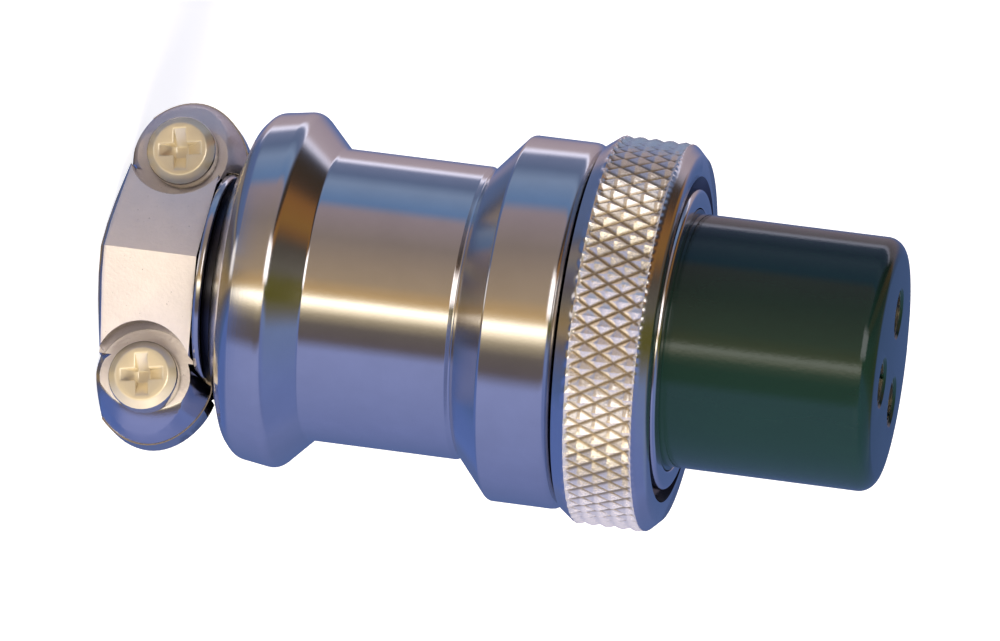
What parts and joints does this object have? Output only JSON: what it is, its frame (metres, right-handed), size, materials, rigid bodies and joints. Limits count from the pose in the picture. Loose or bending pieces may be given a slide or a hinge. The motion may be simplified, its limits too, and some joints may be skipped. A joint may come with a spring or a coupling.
{
  "type": "aviation plug connector",
  "caption": "Round metal cable plug with a knurled coupling nut, a dark insert with socket contacts, and a screwed cable clamp behind the shell.",
  "frame": {"origin": "on the plug's axis, at the rear face of the cable clamp that it stands on", "axes": "+Z along the axis towards the mating face; the clamp is long in X; its screw heads face -Y"},
  "size_m": [0.019, 0.019, 0.0384],
  "materials": {
    "plated_shell": "bright nickel plating over a die casting",
    "plated_saddle": "duller nickel plating, cast skin",
    "plated_nut": "bright nickel plating, knurled",
    "plated_collar": "bright nickel plating, turned",
    "screw_metal": "yellowish plated, pan heads",
    "grub_metal": "dark steel",
    "spring_metal": "plain spring steel",
    "insert_plastic": "dark green, glossy moulding",
    "contact_metal": "silver-plated brass"
  },
  "bodies": {
    "shell": {"back_shell": "plated_shell", "locking_screw": "grub_metal", "insert_collar": "plated_collar", "insulator": "insert_plastic", "retaining_ring": "spring_metal", "contact_1": "contact_metal", "contact_2": "contact_metal", "contact_3": "contact_metal"},
    "nut": {"coupling_nut": "plated_nut"},
    "clamp": {"clamp_saddle": "plated_saddle", "clamp_screw_left": "screw_metal", "clamp_screw_right": "screw_metal"}
  },
  "joints": [
    {"name": "coupling_nut_turn", "type": "hinge", "parent": "shell", "child": "nut", "pos_m": [0, 0, 0.02585], "axis": [0, 0, 1], "continuous": true},
    {"name": "cable_clamp_open", "type": "slide", "parent": "shell", "child": "clamp", "axis": [0, -1, 0], "range_m": [0, 0.0015]}
  ]
}
